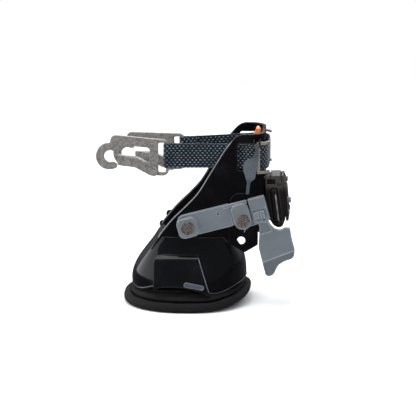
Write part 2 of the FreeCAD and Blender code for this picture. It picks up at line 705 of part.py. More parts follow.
def gate(bar, y, drop):
    """Bent gate with two ears that straddle the hook plate."""
    d = bar - bar_x_near
    z = -drop
    blade = slab([(-69.4 + d, 155.2 + z, 1), (-52 + d, 153.6 + z, 12), (-42.2 + d, 149.0 + z, 2),
                  (-40.8 + d, 147.0 + z, 0.8), (-38.2 + d, 135.4 + z, 0.5), (-40 + d, 136.0 + z, 3),
                  (-52 + d, 142.2 + z, 12), (-69.8 + d, 144.4 + z, 1)], y - plate / 2, y + plate / 2)
    shape = blade
    for y0, y1 in ((y - 3.4, y - 1.8), (y + 1.8, y + 3.4)):
        ear = slab([(-62 + d, 154.0 + z, 2), (-50 + d, 152.6 + z, 8), (-42 + d, 148.8 + z, 2),
                    (-29.4 + d, 141.8 + z, 3), (-29.6 + d, 133.0 + z, 3), (-37 + d, 134.6 + z, 5),
                    (-52 + d, 142.6 + z, 12), (-62 + d, 144.6 + z, 2)], y0, y1)
        ear = ear.cut(rod(-32.8 + d, y0 - 1, 137.8 + z, ALONG_Y, 1.5 + running, 4))
        bridge = slab([(-60 + d, 153.4 + z, 0), (-42.0 + d, 147.6 + z, 0), (-39.6 + d, 136.6 + z, 0),
                       (-52 + d, 143.2 + z, 0), (-60 + d, 145.0 + z, 0)],
                      min(y0, y), max(y1, y))
        shape = join(shape, ear, bridge)
    return shape


def gate_rivet(bar, y, drop):
    d = bar - bar_x_near
    x, z = -32.8 + d, 137.8 - drop
    shank = rod(x, y - 3.8, z, ALONG_Y, 1.5, 9.6)
    return join(shank, rod(x, y - 4.4, z, ALONG_Y, 2.4, 0.8), rod(x, y + 5.8, z, ALONG_Y, 2.4, 0.8))


def gate_spring(bar, y, drop):
    d = bar - bar_x_near
    return coil(-32.8 + d, y + 4.0, 137.8 - drop, ALONG_Y, 2.1, 0.28, 2, 0.7)


# ---------------------------------------------------------------- tab and release
def pull_tab():
    """Soft pull tab that hangs over the near window."""
    shape = slab([(70.6, 169.9, 1), (74.2, 169.9, 1), (73.6, 150, 14), (70.8, 134.6, 5),
                  (65.8, 130.2, 5), (64.6, 118.0, 2), (61.4, 118.0, 2), (62.6, 130.6, 10),
                  (58.4, 144.6, 3), (59.6, 151.6, 1.2), (68.2, 156.4, 4), (71.2, 162, 6)],
                 -39.4, -37.0)
    return shape.cut(rod(66, -38.2, 168.6, ALONG_X, 0.8 + running, 12))


def pull_tab_pin():
    """Cross pin of the tab, carried by two short lugs on the shell."""
    return rod(68.6, -38.2, 168.6, ALONG_X, 0.8, 7.6)


def tab_lugs():
    lugs = []
    for x0 in (68.6, 74.6):
        lug = box(x0, x0 + 1.6, -39.4, -26.0, 171.7, 173.6)
        drop_part = box(x0, x0 + 1.6, -39.4, -36.7, 167.0, 172.4)
        lug = join(lug, drop_part).cut(rod(x0 - 1, -38.2, 168.6, ALONG_X, 0.85, 4))
        lugs.append(lug.cut(upright_solid(0)))
    return Part.makeCompound(lugs)


def release_button():
    """Orange push button at the inside of the rim."""
    cap = slab([(67.0, 170.6, 0.6), (74.6, 170.6, 0.6), (74.6, 176.0, 0.8), (72.8, 178.2, 1.0),
                (70.4, 178.2, 1.0), (69.0, 174.4, 1.0)], 1.0, 13.0)
    stem = box(68.6, 73.4, 3.0, 11.0, 158.0, 171.0)
    return join(cap, stem).cut(rod(71.0, 7.0, 157.0, UP, 1.85, 9.0))


def button_guide():
    """Guide box on the inner back wall that carries the button."""
    shell = box(66.0, back_x - wall - 0.1, -1.0, 15.0, 146.0, 166.0)
    shell = shell.cut(box(68.25, 73.75, 2.65, 11.35, 148.4, 170.0))
    return soften(shell, 1.0, lambda e: e.BoundBox.ZLength > 19 and e.BoundBox.XMax < 66.1)


def button_spring():
    return coil(71.0, 7.0, 148.7, UP, 1.3, 0.25, 7, 1.75)


# ---------------------------------------------------------------- write the pieces
def pieces():
    """Every piece by name."""
    near = (bar_x_near, -web_y, 0.0)
    far = (bar_x_far, web_y, 0.0)
    return {
        "upper_shell": upper_shell(),
        "lower_shell": lower_shell(),
        "side_block_near": side_block(True),
        "side_block_far": side_block(False),
        "size_tag": size_tag(),
        "foam_pad": foam_pad(),
        "inner_cushion": inner_cushion(),
        "backing_plate": backing_plate(),
        "backing_posts": backing_posts(),
        "post_screws": post_screws(),
        "arm_link": arm_link(),
        "guard_lever": guard_lever(),
        "lock_slider": lock_slider(),
        "arm_screws": arm_screws(),
        "pivot_bushing": pivot_bushing(),
        "front_spacer": front_spacer(),
        "screw_nuts": screw_nuts(),
        "lever_spring": lever_spring(),
        "slider_spring": slider_spring(),
        "flange_plate_near": flange_plate(True),
        "flange_plate_far": flange_plate(False),
        "far_bracket": far_bracket(),
        "far_screws": far_screws(),
        "housing_body": housing_body(),
        "housing_cover": housing_cover(),
        "housing_tube": housing_tube(),
        "latch_bar": latch_bar(),
        "cover_screws": cover_screws(),
        "catch_pin": catch_pin(),
        "catch_spring": catch_spring(),
        "housing_bolts": housing_bolts(),
        "strap_saddle": strap_saddle(),
        "strap_end_near": strap_end(True),
        "strap_end_far": strap_end(False),
        "keeper_near": keeper(True),
        "keeper_far": keeper(False),
        "keeper_pins": keeper_pins(),
        "hook_near": hook_plate(*near),
        "hook_far": lean(hook_plate(*far)),
        "gate_near": gate(*near),
        "gate_far": lean(gate(*far)),
        "gate_rivet_near": gate_rivet(*near),
        "gate_rivet_far": lean(gate_rivet(*far)),
        "gate_spring_near": gate_spring(*near),
        "gate_spring_far": lean(gate_spring(*far)),
        "pull_tab": pull_tab(),
        "pull_tab_pin": pull_tab_pin(),
        "tab_lugs": tab_lugs(),
        "release_button": release_button(),
        "button_guide": button_guide(),
        "button_spring": button_spring(),
    }


os.makedirs("parts", exist_ok=True)
for name, shape in pieces().items():
    shape.translate(V(-middle_x, 0, 0))
    shape.exportStep("parts/" + name + ".step")
    print(name, round(shape.Volume, 1), shape.isValid(), len(shape.Solids))
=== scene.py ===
# %% [markdown]
# # A strap-on climbing-spur shell unit
# A gloss black shell stands on a foam pad. A webbing strap with two snap hooks runs round its
# closed back, and a blue-grey guard lever sits on the near wall. The hard parts come from the CAD
# frame, so this lesson gives them finishes. The soft parts are modelled here as surfaces.

# %% Load the frame
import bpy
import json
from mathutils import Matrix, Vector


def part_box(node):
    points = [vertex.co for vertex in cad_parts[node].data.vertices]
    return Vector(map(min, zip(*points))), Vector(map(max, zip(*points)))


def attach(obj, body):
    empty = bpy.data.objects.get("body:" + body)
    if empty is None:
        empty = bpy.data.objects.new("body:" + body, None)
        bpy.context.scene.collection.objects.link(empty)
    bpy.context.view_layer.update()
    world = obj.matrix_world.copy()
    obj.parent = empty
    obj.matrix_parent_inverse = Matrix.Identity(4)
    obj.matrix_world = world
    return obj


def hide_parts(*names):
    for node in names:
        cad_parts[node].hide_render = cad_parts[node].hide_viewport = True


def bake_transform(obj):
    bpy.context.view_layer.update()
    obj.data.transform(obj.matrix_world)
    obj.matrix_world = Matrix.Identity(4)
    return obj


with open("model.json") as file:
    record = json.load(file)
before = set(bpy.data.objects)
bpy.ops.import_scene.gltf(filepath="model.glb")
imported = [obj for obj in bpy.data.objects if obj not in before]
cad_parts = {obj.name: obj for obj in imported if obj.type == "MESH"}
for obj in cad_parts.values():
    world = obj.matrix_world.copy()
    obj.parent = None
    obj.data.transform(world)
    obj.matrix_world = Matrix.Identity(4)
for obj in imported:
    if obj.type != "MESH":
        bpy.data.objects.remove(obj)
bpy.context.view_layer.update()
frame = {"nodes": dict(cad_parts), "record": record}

import json
import math
import bmesh
import bpy
import numpy as np
from mathutils import Vector

# %% [markdown]
# ## Places on the unit
# The drawing measures along the unit from the middle of the domed shell, a little to one side of
# the middle of the whole unit. One helper turns drawing millimetres into frame metres.

# %% Drawing millimetres to frame metres
MIDDLE_X = 9.687
WEB_MID = 155.0                 # mid height of the strap
WEB_HALF = 12.7                 # half its width
STRAP_ENDS = (("near", -1, -19.0), ("far", 1, -5.3))    # name, side in Y, X of the hook's bar


def to_frame(points):
    """Metres in the frame = (millimetres in the drawing - middle) / 1000."""
    p = np.array(points, float)
    p[..., 0] -= MIDDLE_X
    return p / 1000.0


end_low, end_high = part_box("strap_end_near")
print("near strap end spans", [round(v, 4) for v in end_high - end_low])

# %% [markdown]
# ## Surfaces from grids
# Every new piece is a grid of points: one direction runs along the piece and the other round its
# section. A grid can close on itself in either direction, and a closed tube may get end caps.

# %% Grid to mesh
def grid_faces(rows, cols, wrap_rows=False):
    """Quads between neighbours of a rows x cols grid; columns join round, rows only if they wrap."""
    r = np.arange(rows if wrap_rows else rows - 1)
    c = np.arange(cols)
    a, b = np.meshgrid(r, c, indexing="ij")
    a2, b2 = (a + 1) % rows, (b + 1) % cols
    return np.stack([a * cols + b, a * cols + b2, a2 * cols + b2, a2 * cols + b], -1).reshape(-1, 4)


def mesh_piece(name, points, faces, uv=None):
    """A smooth mesh object from an (n, 3) array in metres and an array of faces; uv is per point."""
    mesh = bpy.data.meshes.new(name)
    mesh.from_pydata(points.reshape(-1, 3).tolist(), [], [list(f) for f in faces])
    if uv is not None:
        layer = mesh.uv_layers.new(name="UVMap")
        loop_points = np.empty(len(mesh.loops), dtype=np.int32)
        mesh.loops.foreach_get("vertex_index", loop_points)
        layer.data.foreach_set("uv", uv.reshape(-1, 2)[loop_points].astype(np.float32).ravel())
    mesh.polygons.foreach_set("use_smooth", [True] * len(mesh.polygons))
    mesh.update()
    piece = bpy.data.objects.new(name, mesh)
    bpy.context.scene.collection.objects.link(piece)
    return piece


def tube_piece(name, grid, uv=None):
    """A tube from a (rows, cols, 3) grid whose columns close round, with flat fans on its ends."""
    rows, cols = grid.shape[:2]
    points = grid.reshape(-1, 3)
    faces = [list(f) for f in grid_faces(rows, cols)]
    faces.append(list(range(cols))[::-1])
    faces.append([(rows - 1) * cols + i for i in range(cols)])
    return mesh_piece(name, points, faces, uv)


def outward(piece):
    """Turn the faces of a closed piece outwards."""
    work = bmesh.new()
    work.from_mesh(piece.data)
    bmesh.ops.recalc_face_normals(work, faces=work.faces)
    work.to_mesh(piece.data)
    work.free()
    return piece


def smooth_path(points, count):
    """Catmull-Rom curve through the points, sampled evenly by length."""
    p = np.array(points, float)
    p = np.vstack([2 * p[0] - p[1], p, 2 * p[-1] - p[-2]])
    t = np.linspace(0, len(p) - 3 - 1e-9, 40 * len(p))
    i = t.astype(int)
    f = (t - i)[:, None]
    a, b, c, d = p[i], p[i + 1], p[i + 2], p[i + 3]
    square, cube = 2 * a - 5 * b + 4 * c - d, 3 * b - 3 * c + d - a
    line = 0.5 * (2 * b + (c - a) * f + square * f ** 2 + cube * f ** 3)
    reach = np.r_[0, np.cumsum(np.linalg.norm(np.diff(line, axis=0), axis=1))]
    want = np.linspace(0, reach[-1], count)
    return np.stack([np.interp(want, reach, line[:, k]) for k in range(line.shape[1])], 1), want


print("grid helpers ready")

# %% [markdown]
# ## Shader sums as plain Python
# A finish is easier to read as arithmetic than as a wall of nodes. This small class wraps a
# socket, so `1 - mask * 0.5` adds the Math nodes by itself. Any other node comes from `add`.

# %% Shader arithmetic
class Value:
    """A socket that can be added, multiplied and compared like a number."""

    def __init__(self, finish, socket):
        self.finish = finish
        self.socket = socket

    def _sum(self, kind, other, swapped=False):
        first, second = (other, self) if swapped else (self, other)
        return self.finish.add("ShaderNodeMath", {"operation": kind}, {0: first, 1: second})

    def __add__(self, other): return self._sum("ADD", other)
    def __radd__(self, other): return self._sum("ADD", other, True)
    def __sub__(self, other): return self._sum("SUBTRACT", other)
    def __rsub__(self, other): return self._sum("SUBTRACT", other, True)
    def __mul__(self, other): return self._sum("MULTIPLY", other)
    def __truediv__(self, other): return self._sum("DIVIDE", other)
    def __pow__(self, other): return self._sum("POWER", other)
    def __gt__(self, other): return self._sum("GREATER_THAN", other)
    def sine(self): return self._sum("SINE", 0.0)
    def size(self): return self._sum("ABSOLUTE", 0.0)
    def part(self): return self._sum("FRACT", 0.0)
    def low(self, other): return self._sum("MINIMUM", other)
    def high(self, other): return self._sum("MAXIMUM", other)

    def between(self, low, high):
        """0 below low, 1 above high, smooth in between."""
        return self.finish.add("ShaderNodeMapRange", {"interpolation_type": "SMOOTHSTEP"},
                               {"Value": self, "From Min": low, "From Max": high})


class Finish:
    """A material with one Principled shader and a method for every other node."""

    def __init__(self, name, **fixed):
        self.material = bpy.data.materials.new(name)
        self.material.use_nodes = True
        self.nodes = self.material.node_tree.nodes
        self.links = self.material.node_tree.links
        self.shader = self.nodes["Principled BSDF"]
        for label, number in fixed.items():
            self.shader.inputs[label.replace("_", " ")].default_value = number

    def add(self, kind, settings=None, wanted=None, out=0):
        """A node of a type, its settings first, then values or links for its sockets."""
        node = self.nodes.new(kind)
        for key, setting in (settings or {}).items():
            setattr(node, key, setting)
        for key, given in (wanted or {}).items():
            target = node.inputs[key]
            if isinstance(given, Value):
                self.links.new(given.socket, target)
            else:
                target.default_value = given
        return Value(self, node.outputs[out])

    def place(self, source="Object"):
        """Object coordinates, or the piece's own UV map."""
        return self.add("ShaderNodeTexCoord", out=source)

    def noise(self, scale, detail=4.0, rough=0.5, where=None):
        """Soft cloud noise between 0 and 1, scale in waves per metre."""
        return self.add("ShaderNodeTexNoise", None, {
            "Vector": where or self.place(), "Scale": scale, "Detail": detail, "Roughness": rough})

    def split(self, vector):
        """The three numbers of a vector."""
        node = self.nodes.new("ShaderNodeSeparateXYZ")
        self.links.new(vector.socket, node.inputs[0])
        return [Value(self, node.outputs[i]) for i in range(3)]

    def blend(self, amount, first, second):
        """Colour between first and second."""
        node = self.nodes.new("ShaderNodeMix")
        node.data_type = "RGBA"
        for target, given in ((node.inputs[0], amount), (node.inputs[6], first), (node.inputs[7], second)):
            if isinstance(given, Value):
                self.links.new(given.socket, target)
            else:
                target.default_value = (*given, 1.0) if isinstance(given, tuple) else given
        return Value(self, node.outputs[2])

    def edge(self, radius):
        """(edge mask, rounded normal): how far a rounded corner leans from the flat face."""
        node = self.nodes.new("ShaderNodeBevel")
        node.samples = 4
        node.inputs["Radius"].default_value = radius
        soft = Value(self, node.outputs[0])
        flat = self.add("ShaderNodeNewGeometry", out="Normal")
        dot = self.nodes.new("ShaderNodeVectorMath")
        dot.operation = "DOT_PRODUCT"
        self.links.new(soft.socket, dot.inputs[0])
        self.links.new(flat.socket, dot.inputs[1])
        return (1 - Value(self, dot.outputs["Value"])), soft

    def bump(self, height, distance, strength=1.0, normal=None):
        """Relief from a height in 0..1, its depth in metres."""
        wanted = {"Height": height, "Distance": distance, "Strength": strength}
        if normal is not None:
            wanted["Normal"] = normal
        return self.add("ShaderNodeBump", None, wanted)

    def feed(self, **wanted):
        """Link values into the shader's sockets."""
        for label, given in wanted.items():
            self.links.new(given.socket, self.shader.inputs[label.replace("_", " ")])
        return self.material


print("shader helpers ready")

# %% [markdown]
# ## Gloss black shell plastic
# The shells are injection-moulded black plastic with a high polish. Real gloss is never flat: it
# has a faint ripple from the mould, a haze of fine scuffs that changes the roughness, and slightly
# rounded corners that catch light. The ripple is bump, the haze drives roughness, and the corner
# rounding is a Bevel node in the normal. The same Bevel mask paints the corners lighter in the
# colour: a painted highlight.

# %% Gloss black
def housing_dust_and_highlight(finish, colour):
    """Dust-brown top above z = 120 mm and two lines down the tube side, where |x - line(z)| is small: a
    dust-brown rail and a pale painted highlight.
    """
    x, y, z = finish.split(finish.place())
    patch = finish.noise(140.0, 5.0, 0.65)
    off_line = x - (90.85 - MIDDLE_X) / 1000 + (z - 0.1145) * 0.125
    reach = z.between(0.080, 0.090) * (1 - z.between(0.111, 0.1165))
    # Painted highlight: a pale line down the tube's side.
    tube_highlight = (1 - off_line.size().between(0.0002, 0.0009)) * reach
    rail = (1 - (off_line - 0.0034).size().between(0.0003, 0.0014)) * z.between(0.078, 0.086) * 0.6
    notch = x.between(0.0723, 0.0726) * (1 - x.between(0.0806, 0.0809))
    notch = notch * z.between(0.1244, 0.1247) * (1 - z.between(0.1294, 0.1297))
    top = z.between(0.1160, 0.1235) * (1 - notch)
    dusty = (top.high(rail) * (0.55 + patch * 0.6)).low(1.0)
    colour = finish.blend(dusty, colour, (0.066, 0.058, 0.053))
    # Paint the pale highlight line down the tube's side.
    return finish.blend((tube_highlight * (patch * 2.2 - 0.55).high(0.0)).low(0.85), colour, (0.40, 0.40, 0.43))


def gloss_black(name, base, rough, haze, ripple, dress=None):
    """Black plastic: colour, least roughness, how much haze adds, ripple depth in metres."""
    finish = Finish(name, Specular_IOR_Level=0.16, Coat_Weight=0.13, Coat_Roughness=0.05)
    mask, soft = finish.edge(0.0012)
    cloud = finish.noise(38.0, 3.0)
    fine = finish.noise(900.0, 5.0, 0.7)
    scuff = (fine * cloud).between(0.22, 0.46)
    # Painted highlight: the Bevel edge mask lightens the colour on the corners; it also adds a little
    # roughness.
    painted_edge_highlight = mask.between(0.02, 0.30)
    colour = finish.blend(painted_edge_highlight * (0.35 + cloud * 0.6), base, (0.125, 0.125, 0.140))
    colour = finish.blend(scuff * 0.10, colour, (0.05, 0.05, 0.055))
    if dress:
        colour = dress(finish, colour)
    wave = finish.bump(finish.noise(26.0, 1.5), ripple, 1.0, soft)
    return finish.feed(Base_Color=colour, Roughness=rough + scuff * haze + painted_edge_highlight * 0.10, Normal=wave)


shell_black = gloss_black("gloss_black_shell", (0.0026, 0.0026, 0.0036), 0.12, 0.16, 0.0006)
housing_black = gloss_black("satin_black_housing", (0.010, 0.0088, 0.0080), 0.30, 0.20, 0.0001,
                            housing_dust_and_highlight)
print("black plastics:", shell_black.name, housing_black.name)

# %% [markdown]
# ## Blue-grey guard plastic
# The arm and the lever are moulded in one blue-grey nylon. It is satin, with a fine eggshell
# texture, slow colour clouds, and lighter edges, partly rubbed where it meets boots and tree bark and
# partly a painted highlight. A pale painted highlight runs along the paddle's slanted crease, with
# painted shade on the paddle below it.

# %% Blue-grey nylon
def guard_grey(name, base, light, rough):
    """Satin nylon: body and light colours; the light colour paints scratches, rubbed edges with a painted
    highlight, and a painted highlight on the paddle's slanted crease line, and painted shade darkens the
    paddle under that line.
    """
    finish = Finish(name, Specular_IOR_Level=0.45)
    mask, soft = finish.edge(0.0015)
    cloud = finish.noise(30.0, 5.0, 0.6)
    grain = finish.noise(2600.0, 2.0)
    # Rubbed edges: partly wear, partly painted highlight.
    rub_and_edge_highlight = (mask * (0.55 + cloud * 0.9)).between(0.010, 0.11)
    scratch = finish.noise(420.0, 6.0, 0.75).between(0.62, 0.74)
    dark = tuple(c * 0.80 for c in base)
    colour = finish.blend(cloud.between(0.30, 0.70), dark, base)
    colour = finish.blend(scratch * 0.22, colour, light)
    x, y, z = finish.split(finish.place())
    under = (x - (94.3 - MIDDLE_X) / 1000) * 0.40 + 0.05385 - z
    # Painted shade: the paddle below its crease, which faces down, is darkened.
    colour = finish.blend(under.between(-0.0002, 0.0004) * 0.45, colour, tuple(c * 0.42 for c in base))
    # Painted highlight: a pale line along the crease bend.
    crease_highlight = 1 - (under + 0.0002).size().between(0.0002, 0.0007)
    colour = finish.blend((rub_and_edge_highlight * 0.85).high(crease_highlight * 0.5), colour, light)
    relief = finish.bump(grain, 0.00006, 0.6, soft)
    return finish.feed(Base_Color=colour, Roughness=rough + cloud * 0.12 - rub_and_edge_highlight * 0.08, Normal=relief)


guard = guard_grey("blue_grey_nylon", (0.140, 0.162, 0.184), (0.40, 0.45, 0.50), 0.40)
tag_finish = guard_grey("grey_tag", (0.060, 0.066, 0.085), (0.22, 0.24, 0.29), 0.42)
print("nylon:", guard.name)

# %% [markdown]
# ## Steels
# Four steels are in use. The hooks are stamped and tumbled, so they are mottled and softly
# scratched, with bright edges that are partly rubbed wear and partly a painted highlight. The
# screws are turned and browned. The keepers are bright bent strip, and the springs are wire.

# %% Steels
def steel(name, base, light, rough, mottling, grain=240.0):
    """Worn steel: body colour, a light colour for flecks and for edges that are partly rubbed wear and partly
    painted highlight, roughness, mottling and its waves per metre.
    """
    finish = Finish(name, Metallic=0.45, Specular_IOR_Level=0.6)
    mask, soft = finish.edge(0.0010)
    mottle = finish.noise(grain, 8.0, 0.72)
    pit = finish.noise(1500.0, 3.0, 0.6)
    # Rubbed edges: partly wear, partly painted highlight.
    rub_and_edge_highlight = mask.between(0.015, 0.16)
    dark = tuple(c * (1 - mottling) for c in base)
    colour = finish.blend(mottle.between(0.38, 0.62), dark, base)
    fleck = finish.noise(700.0, 4.0, 0.7).between(0.60, 0.72)
    colour = finish.blend(fleck * 0.30, colour, light)
    colour = finish.blend(rub_and_edge_highlight * 0.85, colour, light)
    relief = finish.bump(pit * 0.5 + mottle * 0.5, 0.00010, 0.7, soft)
    return finish.feed(Base_Color=colour, Roughness=rough + mottle * 0.22 - rub_and_edge_highlight * 0.14, Normal=relief)


hook_steel = steel("tumbled_steel", (0.360, 0.342, 0.326), (0.90, 0.83, 0.77), 0.38, 0.48, 330.0)
screw_steel = steel("browned_steel", (0.215, 0.182, 0.160), (0.62, 0.55, 0.48), 0.36, 0.85, 430.0)
keeper_steel = steel("bright_strip", (0.36, 0.325, 0.285), (0.80, 0.74, 0.66), 0.28, 0.35)
spring_steel = steel("spring_wire", (0.50, 0.50, 0.50), (0.75, 0.75, 0.75), 0.28, 0.15)
print("steels:", hook_steel.name, screw_steel.name, keeper_steel.name, spring_steel.name)

# %% [markdown]
# ## Orange button and rubber tab
# The button is bright satin plastic. The pull tab is rubber with a chevron grip moulded into its
# broad part: the ribs are a height made from folded stripes, so they cost no faces.

# %% Orange plastic and ribbed rubber
def orange_plastic():
    """Satin orange with a faint mould grain, and edges painted lighter: a painted highlight."""
    finish = Finish("orange_button", Roughness=0.38, Specular_IOR_Level=0.5, Coat_Weight=0.1)
    mask, soft = finish.edge(0.0006)
    colour = finish.blend(finish.noise(220.0), (0.90, 0.21, 0.045), (1.0, 0.30, 0.09))
    # Painted highlight on the edges.
    colour = finish.blend(mask.between(0.03, 0.3) * 0.5, colour, (1.0, 0.52, 0.26))
    return finish.feed(Base_Color=colour, Normal=finish.bump(finish.noise(2500.0), 0.00005, 0.5, soft))


def grip_rubber():
    """Blue-grey rubber; chevron height = stripes of z plus the fold of x, only on the broad part. Rib crests
    and edges are painted lighter: a painted highlight.
    """
    finish = Finish("grip_rubber", Specular_IOR_Level=0.4)
    mask, soft = finish.edge(0.0006)
    x, y, z = finish.split(finish.place())
    low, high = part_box("pull_tab")
    middle = (low.x + high.x) / 2
    fold = (x - middle).size()
    stripe = ((z + fold * 0.9) * (2 * math.pi / 0.0024)).sine() * 0.5 + 0.5
    zone = z.between(low.z + 0.013, low.z + 0.018) * (1 - z.between(low.z + 0.034, low.z + 0.040))
    rib = stripe * zone
    cloud = finish.noise(160.0, 5.0)
    colour = finish.blend(cloud, (0.036, 0.046, 0.056), (0.066, 0.080, 0.094))
    # Painted highlight: the rib crests and the edges are lightened.
    colour = finish.blend((rib * 0.5 + mask.between(0.02, 0.25) * 0.6).low(1.0), colour, (0.19, 0.22, 0.25))
    return finish.feed(Base_Color=colour, Roughness=0.52 + cloud * 0.15,
                       Normal=finish.bump(rib, 0.0005, 1.0, soft))


orange = orange_plastic()
tab_rubber = grip_rubber()
print("small plastics:", orange.name, tab_rubber.name)

# %% [markdown]
# ## Woven webbing and knitted pad cover
# Webbing is a heavy weave, so its look is mostly pattern: rows along the strap, each row a run of
# slanted yarn floats, the slant turning over from row to row. Its colour also holds painted light:
# painted shade in the weave's low parts, and a painted highlight on the float crests and on both
# selvedges. The UV map of each strap holds millimetres along and across, so the weave keeps its
# size round every bend. The pad cover is a fine knit with a soft nap; its pattern sits on Object
# coordinates.

# %% Webbing
def woven_webbing():
    """Height = float (slanted sine along the strap) x ridge (parabola across each row)."""
    finish = Finish("navy_webbing", Specular_IOR_Level=0.35, Sheen_Weight=0.25, Sheen_Roughness=0.4)
    along, across, _ = finish.split(finish.place("UV"))
    row = across / 2.42
    turn = ((row * 0.5).part() > 0.5)
    bow = (row.part() * 2 - 1) ** 2.0
    jitter = finish.noise(0.16, 3.0, 0.6, finish.place("UV")) * 0.7
    yarn = ((along / 4.3 + bow * 0.20 + turn * 0.5 + jitter) * (2 * math.pi)).sine() * 0.5 + 0.5
    ridge = 1 - bow
    fibre = finish.noise(2.6, 4.0, 0.7, finish.place("UV"))
    cross = ((along / 1.4 + row * 0.5) * (2 * math.pi)).sine() * 0.5 + 0.5
    height = yarn * ridge * 0.66 + ridge * 0.22 + cross * 0.12
    # Painted highlight: the crests of the floats are lightened.
    lit = (height * (0.60 + fibre * 0.75)).between(0.56, 0.90)
    patch = finish.noise(0.07, 2.0, 0.5, finish.place("UV")).between(0.3, 0.7)
    # Painted shade: the weave's low parts get the deep navy, its raised parts the lighter navy.
    colour = finish.blend(height.between(0.08, 0.62), (0.0016, 0.0033, 0.0055), (0.0078, 0.0170, 0.0275))
    colour = finish.blend(lit * (0.40 + patch * 0.45), colour, (0.270, 0.335, 0.390))
    # Painted highlight along both selvedges.
    selvedge_highlight = (across - WEB_HALF).size().between(11.7, 12.5)
    colour = finish.blend(selvedge_highlight * 0.5, colour, (0.060, 0.080, 0.100))
    return finish.feed(Base_Color=colour, Roughness=0.78 - lit * 0.22,
                       Normal=finish.bump(height, 0.0009, 1.0))


def knit_cover():
    """Charcoal knit: fine crossed waves with a cloudy nap."""
    finish = Finish("charcoal_knit", Specular_IOR_Level=0.12, Sheen_Weight=0.03, Sheen_Roughness=0.45)
    x, y, z = finish.split(finish.place())
    wave = (x * 5200.0).sine() * (y * 5200.0).sine() * 0.5 + 0.5
    nap = finish.noise(95.0, 6.0, 0.65)
    fuzz = finish.noise(1900.0, 3.0, 0.7)
    colour = finish.blend(nap, (0.0052, 0.0047, 0.0054), (0.0140, 0.0128, 0.0136))
    colour = finish.blend((wave * fuzz).between(0.30, 0.60) * 0.5, colour, (0.024, 0.022, 0.0225))
    relief = finish.bump(wave * 0.5 + fuzz * 0.5, 0.00022, 0.8)
    return finish.feed(Base_Color=colour, Roughness=0.86 - nap * 0.1, Normal=relief)


webbing = woven_webbing()
knit = knit_cover()
thread = Finish("sewing_thread", Roughness=0.6, Sheen_Weight=0.2)
thread.feed(Base_Color=thread.blend(thread.noise(700.0), (0.008, 0.013, 0.019), (0.030, 0.042, 0.055)))
print("fabrics:", webbing.name, knit.name)

# %% Dress the CAD nodes
FINISH_OF_SLOT = {
    "black_shell": shell_black, "black_housing": housing_black,
    "grey_guard": guard, "tag_grey": tag_finish,
    "hook_steel": hook_steel, "screw_steel": screw_steel, "keeper_steel": keeper_steel,
    "spring_steel": spring_steel, "orange_plastic": orange, "tab_rubber": tab_rubber,
    "webbing": webbing, "pad_foam": knit,
}
for part in frame["record"]["subparts"]:
    node = frame["nodes"][part["node"]]
    node.data.materials.clear()
    node.data.materials.append(FINISH_OF_SLOT[part["material_slot"]])

# %% [markdown]
# ## The foam pad
# The pad is a sheet of foam in a knitted cover, bound by a fat rolled rim. A second, raised ring of
# foam lies inside the rim under the shell. Each is one closed surface: an oval carried through a
# profile, like a lathe whose turn is a squared oval. The whole pad rises under the closed back.

# %% Pad surfaces
def squared_oval(turn, half_x, half_y, power=2.3):
    """x = a sgn(cos)|cos|^(2/p), y = b sgn(sin)|sin|^(2/p)."""
    c, s = np.cos(turn), np.sin(turn)
    return half_x * np.sign(c) * np.abs(c) ** (2 / power), half_y * np.sign(s) * np.abs(s) ** (2 / power)


def pad_rise(x):
    """Lift of the pad under the back: zero to x = 18, then growing with the square."""
    return 0.0041 * np.clip(x - 18.0, 0, None) ** 2


def pad_piece(name, profile, half_x, half_y, middle, pucker):
    """profile: rows of (inset from the outline, height). Rows at a full inset close the middle."""
    turn = np.linspace(0, 2 * np.pi, 240, endpoint=False)
    prof = np.array(profile, float)
    inset, height = prof[:, :1], prof[:, 1:]
    ox, oy = squared_oval(turn, 1.0, 1.0)
    x = middle + ox * np.clip(half_x - inset, 0.02, None)
    y = oy * np.clip(half_y - inset, 0.02, None)
    ripple = np.sin(turn * 13 + 0.6) * 0.5 + np.sin(turn * 29 + 2.0) * 0.3 + np.sin(turn * 7) * 0.4
    soft = np.clip(height / max(height.max(), 1e-6), 0, 1)
    fade = np.clip(inset / 6.0, 0, 1) * np.clip((half_x - inset) / 30, 0, 1)
    z = height + pad_rise(x) + pucker * ripple * soft * fade
    return tube_piece(name, to_frame(np.stack([x, y, z], -1)))


def rolled_rim():
    """Profile of the flange: flat under, a round roll outside, a sewn groove, then the flat top."""
    bottom = [(65.4, 0.35), (50, 0.3), (30, 0.25), (14, 0.2), (8, 0.1), (5.2, 0.02)]
    roll = [(4.9 - 4.7 * math.sin(a), 4.75 - 4.75 * math.cos(a)) for a in np.linspace(0.12, 3.35, 22)]
    groove = [(7.6, 8.2), (8.9, 6.8), (9.6, 5.6), (10.4, 5.4), (11.2, 6.2), (12.4, 7.6), (14, 8.5)]
    top = [(18, 8.9), (26, 9.0), (40, 9.0), (55, 9.0), (65.4, 9.0)]
    return bottom + roll + groove + top


def raised_ring():
    """Profile of the cushion: soft crowned ring that dips towards the middle."""
    under = [(58.4, 9.35), (40, 9.35), (20, 9.35), (6, 9.36), (2.6, 9.5), (0.9, 10.2)]
    side = [(0.2, 11.2), (0.35, 12.2), (1.2, 13.3), (2.8, 14.1), (5.0, 14.5)]
    top = [(8, 14.55), (12, 14.4), (18, 14.1), (28, 13.8), (44, 13.6), (58.4, 13.6)]
    return under + side + top


flange = outward(pad_piece("pad_flange", rolled_rim(), 65.4, 71.3, 0.0, 0.35))
cushion = outward(pad_piece("pad_cushion", raised_ring(), 58.4, 62.8, 0.5, 0.25))
for piece, node in ((flange, "foam_pad"), (cushion, "inner_cushion")):
    piece.data.materials.append(knit)
    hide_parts(node)
    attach(piece, "shell")
print("pad faces:", len(flange.data.polygons) + len(cushion.data.polygons))

